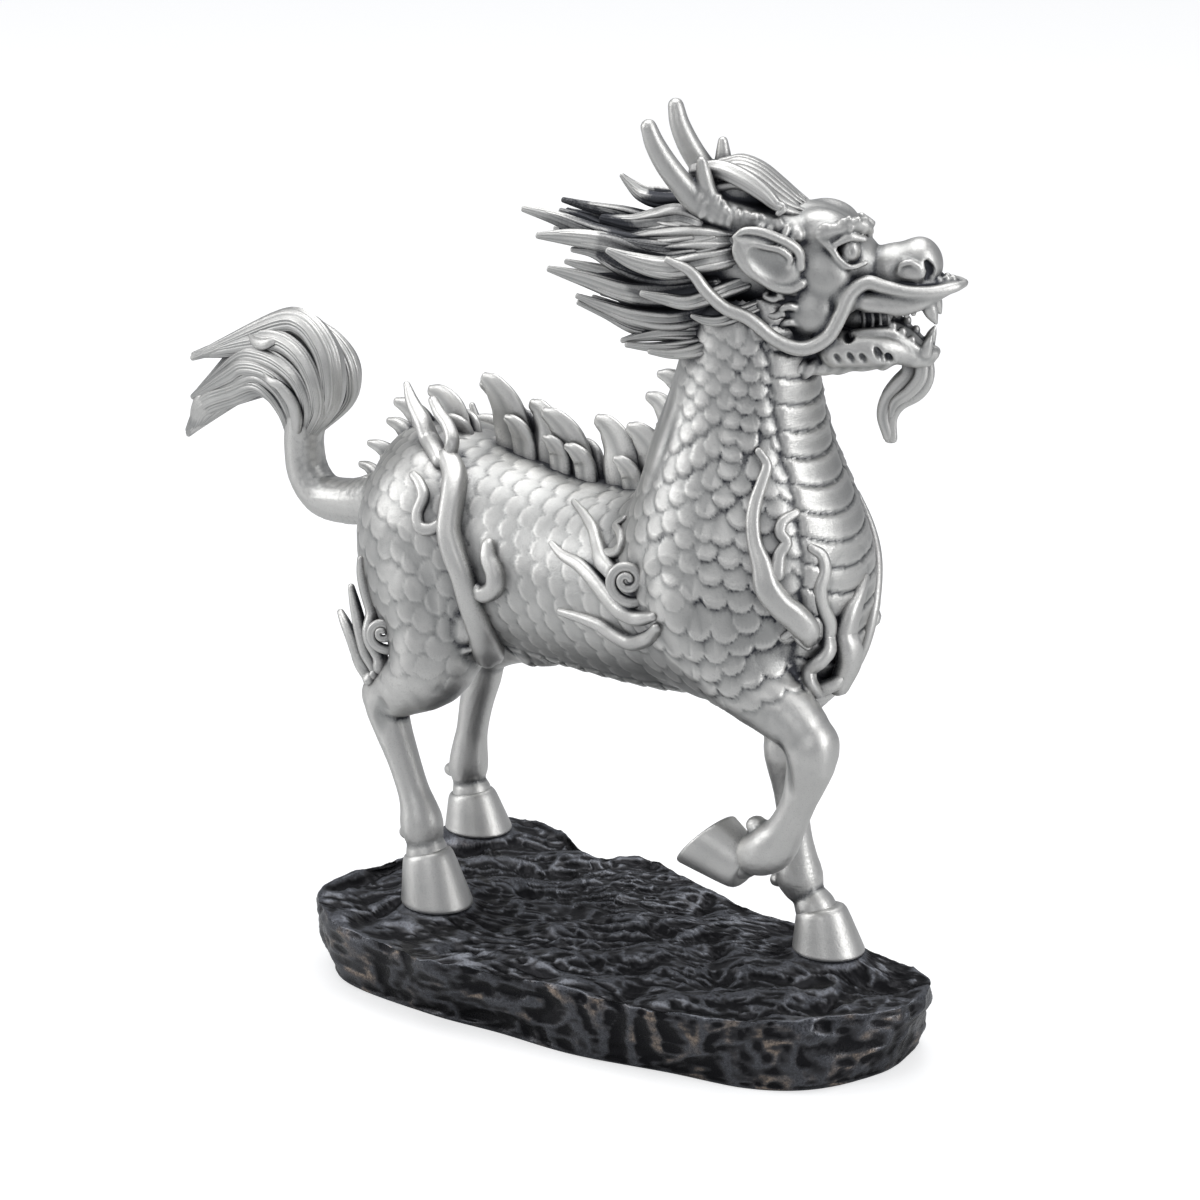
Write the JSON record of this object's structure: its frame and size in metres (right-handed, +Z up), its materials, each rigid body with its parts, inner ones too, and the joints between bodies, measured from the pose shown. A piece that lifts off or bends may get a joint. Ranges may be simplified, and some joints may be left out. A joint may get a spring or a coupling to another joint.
{
  "type": "qilin figure",
  "caption": "Striding scaled hoofed beast of cast pewter with a dragon's head, flowing mane and tail, one forefoot raised, on a dark rock base.",
  "frame": {"origin": "on the floor at the rock's flat underside, under the middle of the animal's feet", "axes": "+X the way the animal walks, +Y its left, +Z up"},
  "size_m": [0.1927, 0.0706, 0.184],
  "materials": {
    "pewter": "satin pewter with a dark patina in the hollows",
    "rock": "near-black patina, rubbed to dull bronze on the ridges"
  },
  "bodies": {
    "root": {"qilin_figure": "pewter", "rock_base": "rock"}
  },
  "joints": []
}
